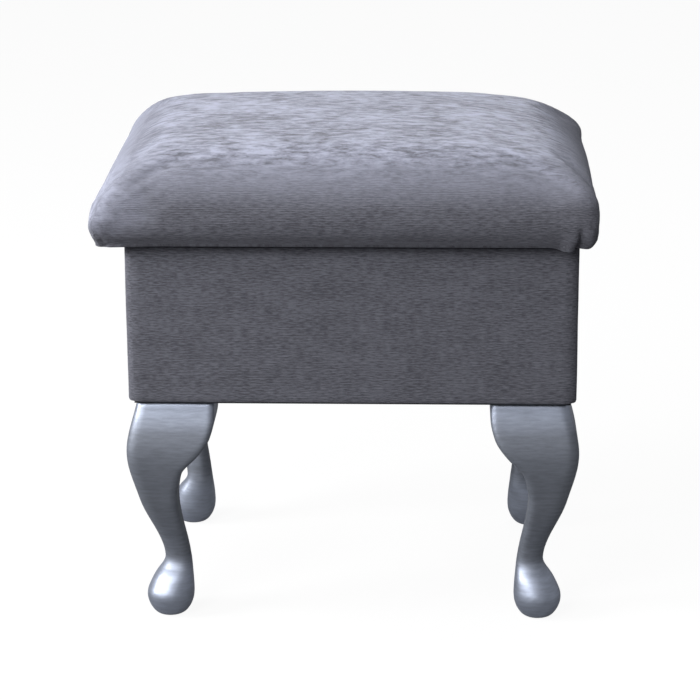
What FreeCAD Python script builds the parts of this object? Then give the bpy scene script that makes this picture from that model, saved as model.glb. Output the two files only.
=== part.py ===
import FreeCAD
import Part

import math
import os

Vector = FreeCAD.Vector

# Storage stool: a fabric-covered box on four cabriole legs, closed by a hinged padded lid.
# Millimetres, +Z up, origin on the floor under the middle of the box, front towards -Y.

# Box, over its fabric
BOX_WIDTH = 410.0
BOX_DEPTH = 312.0
BOX_HEIGHT = 150.5
BOX_CORNER_RADIUS = 7.0
BOX_BOTTOM_RADIUS = 5.0
BOX_RIM_RADIUS = 3.0
BOX_HEM_WIDTH = 30.0

# Boards and skins
PANEL_THICKNESS = 15.0
BASE_THICKNESS = 15.0
COVER_THICKNESS = 1.5
LINING_THICKNESS = 0.8
FLOOR_LINER_THICKNESS = 3.0
FLOOR_LINER_CLEARANCE = 0.5
DUST_COVER_THICKNESS = 0.8
DUST_COVER_MARGIN = 0.5

# Lid cushion, over its fabric
LID_OVERHANG = 24.0
LID_GAP = 0.3
LID_TUCK_WIDTH = 19.0
LID_TUCK_HEIGHT = 23.0
LID_ROLL_WIDTH = 70.0
LID_ROLL_RISE = 60.0
LID_CROWN = 7.1
LID_CORNER_RADIUS = 9.5
LID_CORNER_GROWTH = 0.35
LID_HEM_WIDTH = 60.0
LID_BOARD_THICKNESS = 15.0
LID_BOARD_INSET = 21.0
LID_BOARD_CORNER_RADIUS = 5.0
LID_LINING_CLEARANCE = 3.0
WADDING_THICKNESS = 5.0

# Cabriole leg: faces are measured in from the box's faces, foot heights up from the floor,
# calf, ear and knee drops down from the leg's top
LEG_HEIGHT = 216.0
LEG_STEPS = 32
SOLE_RADIUS = 13.0
PAD_HEIGHT = 22.0
PAD_CENTRE = 32.0
PAD_RADIUS = 23.0
PAD_STEPS = 6
INSTEP_HEIGHT = 38.0
INSTEP_FACE = 17.0
ANKLE_HEIGHT = 52.0
ANKLE_FACE = 27.0
ANKLE_WIDTH = 25.3
CALF_DROP = 96.0
CALF_FACE = 6.0
CALF_WIDTH = 36.0
EAR_ROOT_DROP = 68.0
EAR_ROOT = 47.3
EAR_SWEEP_DROP = 51.0
EAR_SWEEP = 62.5
EAR_TIP_DROP = 34.0
EAR_TIP = 74.0
EAR_END_DROP = 14.0
EAR_END = 78.5
KNEE_DROP = 48.0
KNEE_PROUD = 3.5
LEG_TOP_SETBACK = 7.0

# Leg arris radii: outer corner, the two side corners and the inner corner
ANKLE_SIDE_RADIUS = 9.0
CALF_OUTER_RADIUS = 12.0
CALF_SIDE_RADIUS = 6.0
CALF_INNER_RADIUS = 8.0
TOP_OUTER_RADIUS = 8.0
TOP_SIDE_RADIUS = 4.0
TOP_INNER_RADIUS = 28.0
ARRIS_FLAT = 0.6

# Leg bolts and tee nuts
BOLT_INSET = 43.0
BOLT_RADIUS = 4.0
BOLT_DEPTH = 30.0
BOLT_CLEARANCE = 0.1
BOLT_HOLE_CLEARANCE = 0.5
TEE_BARREL_RADIUS = 5.0
TEE_BARREL_LENGTH = 11.0
TEE_FLANGE_RADIUS = 11.0
TEE_FLANGE_THICKNESS = 1.5

# Butt hinges, their middles measured in from the box's ends
HINGE_INSET = 85.0
HINGE_LENGTH = 60.0
HINGE_KNUCKLES = 5
KNUCKLE_CLEARANCE = 0.3
KNUCKLE_END_GAP = 0.2
LEAF_WIDTH = 13.0
LEAF_THICKNESS = 1.0
LEAF_CLEARANCE = 0.2
PIN_RADIUS = 1.2
PIN_CLEARANCE = 0.05

# Wood screws
SCREW_CLEARANCE = 0.1
PANEL_SCREW_RADIUS = 2.0
PANEL_SCREW_HEAD_RADIUS = 4.0
PANEL_SCREW_LENGTH = 45.0
PANEL_SCREWS_PER_CORNER = 3
PANEL_SCREW_EDGE = 28.0
BASE_SCREWS_PER_LONG_SIDE = 3
BASE_SCREWS_PER_SHORT_SIDE = 2
BASE_SCREW_EDGE = 70.0
HINGE_SCREW_RADIUS = 1.4
HINGE_SCREW_HEAD_RADIUS = 2.4
HINGE_SCREW_LENGTH = 10.0
HINGE_SCREWS_PER_LEAF = 3
HINGE_SCREW_EDGE = 8.0

# Levels above the floor
BOX_BOTTOM = LEG_HEIGHT + DUST_COVER_THICKNESS
WOOD_BOTTOM = BOX_BOTTOM + COVER_THICKNESS
BASE_TOP = WOOD_BOTTOM + BASE_THICKNESS
RIM = BOX_BOTTOM + BOX_HEIGHT
WOOD_TOP = RIM - COVER_THICKNESS
LID_BOTTOM = RIM + LID_GAP
LID_BOARD_BOTTOM = LID_BOTTOM + COVER_THICKNESS
LID_BOARD_TOP = LID_BOARD_BOTTOM + LID_BOARD_THICKNESS
LID_TOP = LID_BOTTOM + LID_TUCK_HEIGHT + LID_ROLL_RISE + LID_CROWN

# Half widths (X) and half depths (Y)
BOX_HALF = (BOX_WIDTH / 2, BOX_DEPTH / 2)
WOOD_HALF = tuple(half - COVER_THICKNESS for half in BOX_HALF)
CAVITY_HALF = tuple(half - PANEL_THICKNESS for half in WOOD_HALF)
STORE_HALF = tuple(half - LINING_THICKNESS for half in CAVITY_HALF)
LID_HALF = tuple(half + LID_OVERHANG for half in BOX_HALF)
LID_BOARD_HALF = tuple(half - LID_BOARD_INSET for half in LID_HALF)

# Hinge axis: the leaves are let in flush, so the knuckle fills the space between the mortise floors
MORTISE_SPACE = LID_BOARD_BOTTOM - WOOD_TOP + 2 * LEAF_THICKNESS
KNUCKLE_RADIUS = (MORTISE_SPACE - KNUCKLE_CLEARANCE) / 2
HINGE_Y = BOX_HALF[1] + KNUCKLE_CLEARANCE + KNUCKLE_RADIUS
HINGE_Z = WOOD_TOP - LEAF_THICKNESS + KNUCKLE_RADIUS
HINGE_CENTRES = {"left": HINGE_INSET - BOX_HALF[0], "right": BOX_HALF[0] - HINGE_INSET}

# Room left past the shapes that a cutting solid removes, and how level an edge is to count as flat
CUT_MARGIN = 20.0
LEVEL_TOLERANCE = 1e-4


def block(x, y, z):
    """Box between pairs of coordinates."""
    return Part.makeBox(x[1] - x[0], y[1] - y[0], z[1] - z[0], Vector(x[0], y[0], z[0]))


def centred_block(half, z):
    """Box about the Z axis, of the given half width and half depth."""
    return block((-half[0], half[0]), (-half[1], half[1]), z)


def rounded_section(x, y, radii, z):
    """Closed wire of four lines and four quarter arcs, corners in turn from (x0, y0)."""
    corners = [(x[0], y[0]), (x[1], y[0]), (x[1], y[1]), (x[0], y[1])]
    along = [(1, 0), (0, 1), (-1, 0), (0, -1)]
    diagonal = 1 - math.sqrt(0.5)
    starts = []
    ends = []
    middles = []
    for (cx, cy), radius, out, back in zip(corners, radii, along, along[-1:] + along[:-1]):
        arrive = Vector(cx - back[0] * radius, cy - back[1] * radius, z)
        leave = Vector(cx + out[0] * radius, cy + out[1] * radius, z)
        turn = Vector(out[0] - back[0], out[1] - back[1], 0) * (radius * diagonal)
        starts.append(arrive)
        ends.append(leave)
        middles.append(Vector(cx, cy, z) + turn)
    edges = []
    for k in range(4):
        edges.append(Part.Arc(starts[k], middles[k], ends[k]).toShape())
        edges.append(Part.LineSegment(ends[k], starts[(k + 1) % 4]).toShape())
    return Part.Wire(edges)


def smooth_value(points, height):
    """Value at a height on the smooth curve through (height, value) points, without overshoot."""
    steps = [(v1 - v0) / (h1 - h0) for (h0, v0), (h1, v1) in zip(points, points[1:])]
    inner = [2 * s * t / (s + t) if s * t > 0 else 0.0 for s, t in zip(steps, steps[1:])]
    slopes = steps[:1] + inner + steps[-1:]
    k = max(i for i in range(len(steps)) if i == 0 or points[i][0] <= height)
    (h0, v0), (h1, v1) = points[k], points[k + 1]
    span = h1 - h0
    t = (height - h0) / span
    rise = t * t * (3 - 2 * t)
    lead = t * (1 - t) * (1 - t) * span
    trail = t * t * (t - 1) * span
    return v0 + (v1 - v0) * rise + slopes[k] * lead + slopes[k + 1] * trail


def fillet_loop(solid, z, radius):
    """Rounds the edges that lie in one horizontal plane."""
    if radius <= 0:
        return solid
    def off_level(edge):
        return max(abs(edge.BoundBox.ZMin - z), abs(edge.BoundBox.ZMax - z))

    return solid.makeFillet(radius, [edge for edge in solid.Edges if off_level(edge) < LEVEL_TOLERANCE])


def screw(head, direction, length, radius, head_radius, grow=0.0):
    """Countersunk screw with its head's face at a point, or its hole when grown."""
    shank = radius + grow
    rim = head_radius + grow
    profile = Part.makePolygon([
        Vector(0, 0, -grow),
        Vector(rim + grow, 0, -grow),
        Vector(shank, 0, rim - shank),
        Vector(shank, 0, length - shank),
        Vector(0, 0, length + grow),
        Vector(0, 0, -grow),
    ])
    solid = Part.Face(profile).revolve(Vector(0, 0, 0), Vector(0, 0, 1), 360)
    turn = FreeCAD.Rotation(Vector(0, 0, 1), Vector(*direction))
    solid.Placement = FreeCAD.Placement(Vector(*head), turn)
    return solid


def screws(places, length, radius, head_radius, grow=0.0):
    """Like screws at (head, direction) places, as one compound."""
    return Part.makeCompound([screw(*place, length, radius, head_radius, grow) for place in places])


def spread(count, half):
    """Even places from -half to +half."""
    return [half * (2 * k / (count - 1) - 1) for k in range(count)]


# Legs

LEG_FACE = [
    (PAD_HEIGHT, PAD_CENTRE - PAD_RADIUS),
    (INSTEP_HEIGHT, INSTEP_FACE),
    (ANKLE_HEIGHT, ANKLE_FACE),
    (LEG_HEIGHT - CALF_DROP, CALF_FACE),
    (LEG_HEIGHT - KNEE_DROP, -KNEE_PROUD),
    (LEG_HEIGHT, LEG_TOP_SETBACK),
]
LEG_BACK = [
    (PAD_HEIGHT, PAD_CENTRE + PAD_RADIUS),
    (ANKLE_HEIGHT, ANKLE_FACE + ANKLE_WIDTH),
    (LEG_HEIGHT - CALF_DROP, CALF_FACE + CALF_WIDTH),
    (LEG_HEIGHT - EAR_ROOT_DROP, EAR_ROOT),
    (LEG_HEIGHT - EAR_SWEEP_DROP, EAR_SWEEP),
    (LEG_HEIGHT - EAR_TIP_DROP, EAR_TIP),
    (LEG_HEIGHT - EAR_END_DROP, EAR_END),
    (LEG_HEIGHT, EAR_END),
]


def arris_points(ankle, calf, top):
    """Corner radius up the leg: round at the foot, softer at the ankle, crisper above."""
    calf_height = LEG_HEIGHT - CALF_DROP
    return [(PAD_HEIGHT, PAD_RADIUS), (ANKLE_HEIGHT, ankle), (calf_height, calf), (LEG_HEIGHT, top)]


OUTER_ARRIS = arris_points(ANKLE_WIDTH / 2, CALF_OUTER_RADIUS, TOP_OUTER_RADIUS)
SIDE_ARRIS = arris_points(ANKLE_SIDE_RADIUS, CALF_SIDE_RADIUS, TOP_SIDE_RADIUS)
INNER_ARRIS = arris_points(ANKLE_WIDTH / 2, CALF_INNER_RADIUS, TOP_INNER_RADIUS)


def corner_section(face, back, radii, height):
    """Rounded square at the front left corner, alike across both box faces."""
    x = (face - BOX_HALF[0], back - BOX_HALF[0])
    y = (face - BOX_HALF[1], back - BOX_HALF[1])
    return rounded_section(x, y, radii, height)


def foot_sections():
    """Round sections of the pad from its sole up to just below its widest, on an ellipse."""
    tilt = math.acos(SOLE_RADIUS / PAD_RADIUS)
    reach = PAD_HEIGHT / math.sin(tilt)
    sections = []
    for step in range(PAD_STEPS):
        angle = tilt * (1 - step / PAD_STEPS)
        half = PAD_RADIUS * math.cos(angle)
        corner = half - ARRIS_FLAT / 2
        height = PAD_HEIGHT - reach * math.sin(angle)
        sections.append(corner_section(PAD_CENTRE - half, PAD_CENTRE + half, [corner] * 4, height))
    return sections


def leg_section(height):
    """Section above the pad, from the two profiles and the arris radii."""
    face = smooth_value(LEG_FACE, height)
    back = smooth_value(LEG_BACK, height)
    side = min(smooth_value(SIDE_ARRIS, height), (back - face - ARRIS_FLAT) / 2)
    room = back - face - ARRIS_FLAT - side
    outer = min(smooth_value(OUTER_ARRIS, height), room)
    inner = min(smooth_value(INNER_ARRIS, height), room)
    return corner_section(face, back, [outer, side, inner, side], height)


def leg_heights():
    """Even section heights from the widest of the pad to the leg's top."""
    rise = LEG_HEIGHT - PAD_HEIGHT
    return [PAD_HEIGHT + rise * k / LEG_STEPS for k in range(LEG_STEPS + 1)]


def corner_copies(front_left):
    """Solid at the front left corner and its mirror images at the other three."""
    front_right = front_left.mirror(Vector(0, 0, 0), Vector(1, 0, 0))
    rear_left = front_left.mirror(Vector(0, 0, 0), Vector(0, 1, 0))
    rear_right = front_right.mirror(Vector(0, 0, 0), Vector(0, 1, 0))
    return {
        "front_left": front_left,
        "front_right": front_right,
        "rear_left": rear_left,
        "rear_right": rear_right,
    }


def bolt_cylinder(radius, z):
    """Upright cylinder on the front left leg's bolt axis."""
    foot = Vector(BOLT_INSET - BOX_HALF[0], BOLT_INSET - BOX_HALF[1], z[0])
    return Part.makeCylinder(radius, z[1] - z[0], foot)


def all_corners(front_left):
    """Four corner solids as one compound."""
    return Part.makeCompound(list(corner_copies(front_left).values()))


def make_leg():
    sections = foot_sections() + [leg_section(height) for height in leg_heights()]
    leg = Part.makeLoft(sections, True, True)
    socket = (LEG_HEIGHT - BOLT_DEPTH - BOLT_CLEARANCE, LEG_HEIGHT + CUT_MARGIN)
    return leg.cut(bolt_cylinder(BOLT_RADIUS + BOLT_CLEARANCE, socket))


def make_hanger_bolts():
    return all_corners(bolt_cylinder(BOLT_RADIUS, (LEG_HEIGHT - BOLT_DEPTH, BASE_TOP)))


def make_tee_nuts():
    flange = bolt_cylinder(TEE_FLANGE_RADIUS, (BASE_TOP - TEE_FLANGE_THICKNESS, BASE_TOP))
    barrel = bolt_cylinder(TEE_BARREL_RADIUS, (BASE_TOP - TEE_BARREL_LENGTH, BASE_TOP))
    thread = bolt_cylinder(BOLT_RADIUS + BOLT_CLEARANCE, (LEG_HEIGHT, BASE_TOP + CUT_MARGIN))
    return all_corners(flange.fuse(barrel).removeSplitter().cut(thread))


# Box

def box_form(inset):
    """Round-edged box, all faces moved in by the inset."""
    half = tuple(size - inset for size in BOX_HALF)
    low = BOX_BOTTOM + inset
    high = RIM - inset
    corner = BOX_CORNER_RADIUS - inset
    form = centred_block(half, (low, high))
    upright = [e for e in form.Edges if e.BoundBox.ZLength > (high - low) / 2]
    form = form.makeFillet(corner, upright)
    form = fillet_loop(form, low, min(BOX_BOTTOM_RADIUS - inset, corner - ARRIS_FLAT))
    return fillet_loop(form, high, min(BOX_RIM_RADIUS - inset, corner - ARRIS_FLAT))


def panel_screw_places():
    """Through the front and back panels, clear of their round corners, into the ends of the side panels."""
    x = BOX_HALF[0] - BOX_CORNER_RADIUS - PANEL_SCREW_HEAD_RADIUS
    low = BASE_TOP + PANEL_SCREW_EDGE / 2
    high = WOOD_TOP - PANEL_SCREW_EDGE
    steps = PANEL_SCREWS_PER_CORNER - 1
    heights = [low + (high - low) * k / steps for k in range(PANEL_SCREWS_PER_CORNER)]
    return [
        ((side * x, end * WOOD_HALF[1], z), (0, -end, 0))
        for end in (-1, 1)
        for side in (-1, 1)
        for z in heights
    ]


def base_screw_places():
    """Through all four panels into the edges of the base board."""
    z = WOOD_BOTTOM + BASE_THICKNESS / 2
    long_side = spread(BASE_SCREWS_PER_LONG_SIDE, CAVITY_HALF[0] - BASE_SCREW_EDGE)
    short_side = spread(BASE_SCREWS_PER_SHORT_SIDE, CAVITY_HALF[1] - BASE_SCREW_EDGE)
    places = []
    for end in (-1, 1):
        places.extend(((x, end * WOOD_HALF[1], z), (0, -end, 0)) for x in long_side)
        places.extend(((end * WOOD_HALF[0], y, z), (-end, 0, 0)) for y in short_side)
    return places


def panel_screws(grow=0.0):
    places = panel_screw_places()
    return screws(places, PANEL_SCREW_LENGTH, PANEL_SCREW_RADIUS, PANEL_SCREW_HEAD_RADIUS, grow)


def base_screws(grow=0.0):
    places = base_screw_places()
    return screws(places, PANEL_SCREW_LENGTH, PANEL_SCREW_RADIUS, PANEL_SCREW_HEAD_RADIUS, grow)


def leaf_pocket(centre, z):
    """Space for one hinge leaf, open to the back."""
    half = HINGE_LENGTH / 2 + LEAF_CLEARANCE
    front = HINGE_Y - KNUCKLE_RADIUS - LEAF_WIDTH - LEAF_CLEARANCE
    return block((centre - half, centre + half), (front, HINGE_Y + KNUCKLE_RADIUS + KNUCKLE_CLEARANCE), z)


def leaf_pockets(z):
    return Part.makeCompound([leaf_pocket(centre, z) for centre in HINGE_CENTRES.values()])


def make_panels():
    """Front and back panels over the full width, side panels between them."""
    wood = box_form(COVER_THICKNESS)
    holes = [panel_screws(SCREW_CLEARANCE), base_screws(SCREW_CLEARANCE)]
    high = (BOX_BOTTOM - CUT_MARGIN, RIM + CUT_MARGIN)
    wide = BOX_HALF[0] + CUT_MARGIN
    ring = wood.cut(centred_block(CAVITY_HALF, high))
    middle = centred_block((wide, CAVITY_HALF[1]), high)
    frames = ring.cut(middle)
    sides = ring.common(middle)
    panels = {
        "front_panel": min(frames.Solids, key=lambda s: s.CenterOfMass.y),
        "back_panel": max(frames.Solids, key=lambda s: s.CenterOfMass.y),
        "left_panel": min(sides.Solids, key=lambda s: s.CenterOfMass.x),
        "right_panel": max(sides.Solids, key=lambda s: s.CenterOfMass.x),
    }
    panels = {name: panel.cut(holes) for name, panel in panels.items()}
    mortises = leaf_pockets((WOOD_TOP - LEAF_THICKNESS, RIM + CUT_MARGIN))
    panels["back_panel"] = panels["back_panel"].cut([mortises, hinge_screws("box", SCREW_CLEARANCE)])
    return panels


def make_base_board():
    board = centred_block(CAVITY_HALF, (WOOD_BOTTOM, BASE_TOP))
    above = BASE_TOP + CUT_MARGIN
    barrel = bolt_cylinder(TEE_BARREL_RADIUS + BOLT_CLEARANCE, (WOOD_BOTTOM - CUT_MARGIN, above))
    flange = bolt_cylinder(TEE_FLANGE_RADIUS + BOLT_CLEARANCE, (BASE_TOP - TEE_FLANGE_THICKNESS, above))
    return board.cut([all_corners(barrel), all_corners(flange), base_screws(SCREW_CLEARANCE)])


def make_box_cover():
    """Fabric round the box, turned over the rim above and under the base below."""
    hem = tuple(half - BOX_HEM_WIDTH for half in BOX_HALF)
    below = centred_block(hem, (BOX_BOTTOM - CUT_MARGIN, BASE_TOP))
    above = centred_block(CAVITY_HALF, (BASE_TOP, RIM + CUT_MARGIN))
    notches = leaf_pockets((WOOD_TOP - LEAF_THICKNESS, RIM + CUT_MARGIN))
    bolts = all_corners(bolt_cylinder(BOLT_RADIUS + BOLT_HOLE_CLEARANCE, (LEG_HEIGHT, BASE_TOP)))
    return box_form(0).cut([box_form(COVER_THICKNESS), below, above, notches, bolts])


def make_box_lining():
    outer = centred_block(CAVITY_HALF, (BASE_TOP, RIM))
    return outer.cut(centred_block(STORE_HALF, (BASE_TOP - CUT_MARGIN, RIM + CUT_MARGIN)))


def make_floor_liner():
    half = tuple(size - FLOOR_LINER_CLEARANCE for size in STORE_HALF)
    return centred_block(half, (BASE_TOP, BASE_TOP + FLOOR_LINER_THICKNESS))


def make_dust_cover():
    half = tuple(size - BOX_BOTTOM_RADIUS - DUST_COVER_MARGIN for size in BOX_HALF)
    sheet = centred_block(half, (LEG_HEIGHT, BOX_BOTTOM))
    through = (LEG_HEIGHT - CUT_MARGIN, BOX_BOTTOM + CUT_MARGIN)
    return sheet.cut(all_corners(bolt_cylinder(BOLT_RADIUS + BOLT_HOLE_CLEARANCE, through)))


# Lid

LID_TUCK_ANGLES = (0, 35, 65)
LID_ROLL_ANGLES = (0, 25, 50, 72)
LID_CROWN_SHARES = (0.8, 0.5, 0.22, 0.05)


def lid_section(edge, radius, height):
    """Level section of the cushion, its edge drawn in from the widest outline."""
    half = tuple(size - edge for size in LID_HALF)
    corner = max(radius, ARRIS_FLAT)
    return rounded_section((-half[0], half[0]), (-half[1], half[1]), [corner] * 4, LID_BOTTOM + height)


def lid_crown_section(share, inset):
    """Level section of the crown, a share of the flat between the rolled edges."""
    half = tuple((size - LID_ROLL_WIDTH) * share for size in LID_HALF)
    radius = (LID_CORNER_RADIUS + LID_CORNER_GROWTH * LID_ROLL_WIDTH) * share
    rise = LID_TUCK_HEIGHT + LID_ROLL_RISE + LID_CROWN * (1 - share * share) - inset
    return rounded_section((-half[0], half[0]), (-half[1], half[1]), [radius] * 4, LID_BOTTOM + rise)


def lid_form(inset):
    """Padded lid, its surface moved in by the inset: tucked-under edge, roll and crown."""
    sections = []
    corner = LID_CORNER_RADIUS - inset
    for angle in LID_TUCK_ANGLES:
        turn = math.radians(angle)
        edge = LID_TUCK_WIDTH - (LID_TUCK_WIDTH - inset) * math.sin(turn)
        height = LID_TUCK_HEIGHT - (LID_TUCK_HEIGHT - inset) * math.cos(turn)
        sections.append(lid_section(edge, corner, height))
    for angle in LID_ROLL_ANGLES:
        turn = math.radians(angle)
        edge = LID_ROLL_WIDTH - (LID_ROLL_WIDTH - inset) * math.cos(turn)
        height = LID_TUCK_HEIGHT + (LID_ROLL_RISE - inset) * math.sin(turn)
        sections.append(lid_section(edge, corner + LID_CORNER_GROWTH * (edge - inset), height))
    sections.extend(lid_crown_section(share, inset) for share in LID_CROWN_SHARES)
    return Part.makeLoft(sections, True, False)


def make_lid():
    """Board, foam cut to a dome on it, wadding over both and the fabric drawn round underneath."""
    outside = lid_form(0)
    inside = lid_form(COVER_THICKNESS)
    core = lid_form(COVER_THICKNESS + WADDING_THICKNESS)
    board = centred_block(LID_BOARD_HALF, (LID_BOARD_BOTTOM, LID_BOARD_TOP))
    upright = [e for e in board.Edges if e.BoundBox.ZLength > LID_BOARD_THICKNESS / 2]
    board = board.makeFillet(LID_BOARD_CORNER_RADIUS, upright)
    wide = tuple(half + CUT_MARGIN for half in LID_HALF)
    foam = core.common(centred_block(wide, (LID_BOARD_TOP, LID_TOP + CUT_MARGIN)))
    hem = tuple(half - LID_HEM_WIDTH for half in LID_HALF)
    opening = centred_block(hem, (LID_BOTTOM - CUT_MARGIN, LID_BOARD_TOP))
    pockets = leaf_pockets((LID_BOTTOM - CUT_MARGIN, LID_BOARD_BOTTOM + LEAF_THICKNESS))
    wadding = inside.cut([foam, board, pockets])
    cover = outside.cut([inside, opening, pockets])
    board = board.cut([pockets, hinge_screws("lid", SCREW_CLEARANCE)])
    lining_half = tuple(half - LID_LINING_CLEARANCE for half in STORE_HALF)
    lining = centred_block(lining_half, (LID_BOTTOM - LINING_THICKNESS, LID_BOTTOM))
    return {
        "lid_board": board,
        "lid_foam": foam,
        "lid_wadding": wadding,
        "lid_cover": cover,
        "lid_lining": lining,
    }


# Hinges

def knuckle_slots(owner):
    """X spans of the knuckles that belong to the box leaf or the lid leaf, about the hinge's middle."""
    pitch = HINGE_LENGTH / HINGE_KNUCKLES
    first = 0 if owner == "box" else 1
    starts = [pitch * k - HINGE_LENGTH / 2 for k in range(first, HINGE_KNUCKLES, 2)]
    return [(start, start + pitch) for start in starts]


def x_cylinder(radius, x):
    """Cylinder on the hinge axis."""
    return Part.makeCylinder(radius, x[1] - x[0], Vector(x[0], HINGE_Y, HINGE_Z), Vector(1, 0, 0))


def leaf_floor(owner):
    """Lower face of a leaf's plate."""
    return WOOD_TOP - LEAF_THICKNESS if owner == "box" else LID_BOARD_BOTTOM


def make_leaf(owner, centre):
    """Plate with rolled knuckles, relieved round the other leaf's knuckles."""
    floor = leaf_floor(owner)
    front = HINGE_Y - KNUCKLE_RADIUS - LEAF_WIDTH
    half = HINGE_LENGTH / 2
    leaf = block((centre - half, centre + half), (front, HINGE_Y), (floor, floor + LEAF_THICKNESS))
    other = "lid" if owner == "box" else "box"
    relief_front = HINGE_Y - KNUCKLE_RADIUS - KNUCKLE_CLEARANCE
    level = (floor - CUT_MARGIN, floor + CUT_MARGIN)
    for low, high in knuckle_slots(other):
        span = (centre + low - KNUCKLE_END_GAP / 2, centre + high + KNUCKLE_END_GAP / 2)
        leaf = leaf.cut(block(span, (relief_front, HINGE_Y + CUT_MARGIN), level))
    for low, high in knuckle_slots(owner):
        end_low = centre + low + (KNUCKLE_END_GAP / 2 if low > -half else 0)
        end_high = centre + high - (KNUCKLE_END_GAP / 2 if high < half else 0)
        leaf = leaf.fuse(x_cylinder(KNUCKLE_RADIUS, (end_low, end_high)))
    bore = x_cylinder(PIN_RADIUS + PIN_CLEARANCE, (centre - HINGE_LENGTH, centre + HINGE_LENGTH))
    return leaf.removeSplitter().cut([bore, hinge_screws(owner, SCREW_CLEARANCE)])


def make_pin(centre):
    return x_cylinder(PIN_RADIUS, (centre - HINGE_LENGTH / 2, centre + HINGE_LENGTH / 2))


def hinge_screws(owner, grow=0.0):
    """Screws of both hinges' box leaves, down, or of their lid leaves, up."""
    y = HINGE_Y - KNUCKLE_RADIUS - LEAF_WIDTH / 2 - KNUCKLE_CLEARANCE
    down = owner == "box"
    face = leaf_floor(owner) + (LEAF_THICKNESS if down else 0)
    places = [
        ((centre + along, y, face), (0, 0, -1 if down else 1))
        for centre in HINGE_CENTRES.values()
        for along in spread(HINGE_SCREWS_PER_LEAF, HINGE_LENGTH / 2 - HINGE_SCREW_EDGE)
    ]
    return screws(places, HINGE_SCREW_LENGTH, HINGE_SCREW_RADIUS, HINGE_SCREW_HEAD_RADIUS, grow)


def make_parts():
    parts = {f"leg_{corner}": leg for corner, leg in corner_copies(make_leg()).items()}
    parts["leg_hanger_bolts"] = make_hanger_bolts()
    parts["tee_nuts"] = make_tee_nuts()
    parts.update(make_panels())
    parts["base_board"] = make_base_board()
    parts["panel_screws"] = panel_screws()
    parts["base_screws"] = base_screws()
    parts["box_cover"] = make_box_cover()
    parts["box_lining"] = make_box_lining()
    parts["floor_liner"] = make_floor_liner()
    parts["dust_cover"] = make_dust_cover()
    parts.update(make_lid())
    for side, centre in HINGE_CENTRES.items():
        parts[f"hinge_{side}_box_leaf"] = make_leaf("box", centre)
        parts[f"hinge_{side}_lid_leaf"] = make_leaf("lid", centre)
        parts[f"hinge_{side}_pin"] = make_pin(centre)
    parts["hinge_box_screws"] = hinge_screws("box")
    parts["hinge_lid_screws"] = hinge_screws("lid")
    return parts


def main():
    os.makedirs("parts", exist_ok=True)
    for name, shape in make_parts().items():
        shape.exportStep(f"parts/{name}.step")
        print(name, "solids", len(shape.Solids), "valid", shape.isValid(), "volume", round(shape.Volume))


if __name__ == "__main__":
    main()
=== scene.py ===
import math

import bpy
import numpy as np
from mathutils import Matrix, Vector
from mathutils.kdtree import KDTree


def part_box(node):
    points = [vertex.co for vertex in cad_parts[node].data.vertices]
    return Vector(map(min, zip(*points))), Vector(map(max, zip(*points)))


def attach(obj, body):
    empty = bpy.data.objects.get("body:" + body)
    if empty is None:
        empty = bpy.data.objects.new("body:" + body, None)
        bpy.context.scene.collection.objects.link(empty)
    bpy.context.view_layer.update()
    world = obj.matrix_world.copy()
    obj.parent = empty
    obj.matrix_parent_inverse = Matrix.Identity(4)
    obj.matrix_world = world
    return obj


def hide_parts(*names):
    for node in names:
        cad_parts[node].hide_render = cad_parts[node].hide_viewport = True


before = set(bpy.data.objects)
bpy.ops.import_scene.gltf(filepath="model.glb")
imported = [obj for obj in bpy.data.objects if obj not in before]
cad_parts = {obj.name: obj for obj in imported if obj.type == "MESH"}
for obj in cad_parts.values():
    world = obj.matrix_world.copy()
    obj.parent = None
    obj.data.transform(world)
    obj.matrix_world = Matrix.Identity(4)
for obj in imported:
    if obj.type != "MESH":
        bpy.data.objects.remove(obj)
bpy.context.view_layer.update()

bl_info = {
    "name": "Storage Stool",
    "version": (1, 0, 0),
    "blender": (4, 5, 0),
    "location": "View3D > Sidebar > Stool",
    "description": "Dresses a hinged-lid storage stool: padded lid, covered box, linings and painted legs",
    "category": "Object",
}

BASE = "base"
LID = "lid"
MM = 0.001

# Edges sharper than this stay sharp in the shading
EDGE_ANGLE = math.radians(40)
CUSHION_EDGE_ANGLE = math.radians(50)
# Room round a hinge where it is cut out of a cover
HINGE_ROOM = 0.4 * MM
# Thickness of a thin sheet as a share of the room that its solid takes
SHEET_SHARE = 0.8

# Scales of the chenille's noises along and across its ribs
STREAK_SCALE = (140, 900, 1)
FINE_SCALE = (700, 1500, 1)
WANDER_SCALE = (25, 60, 1)
BROAD_PATCH_SCALE = (14, 22, 1)
FLECK_SCALE = (62, 170, 1)
RIB_SCALE = 210.0

# Heights between which the legs' paint turns darker and duller, a painted shade on the shaft that leaves the
# foot and knee top lighter: up from the foot, and down from the top
SHADED_DULL_FROM_FOOT = (0.04, 0.058)
SHADED_DULL_FROM_TOP = (0.209, 0.187)
PAINTED_SHADE_TINT = (0.6, 0.59, 0.565, 1)
SHADED_DULLNESS = 0.2


# Settings

def length_setting(name, description, default):
    return bpy.props.FloatProperty(name=name, description=description, default=default, unit="LENGTH")


def colour_setting(name, description, default):
    return bpy.props.FloatVectorProperty(
        name=name, description=description, default=default, subtype="COLOR", size=3)


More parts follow.
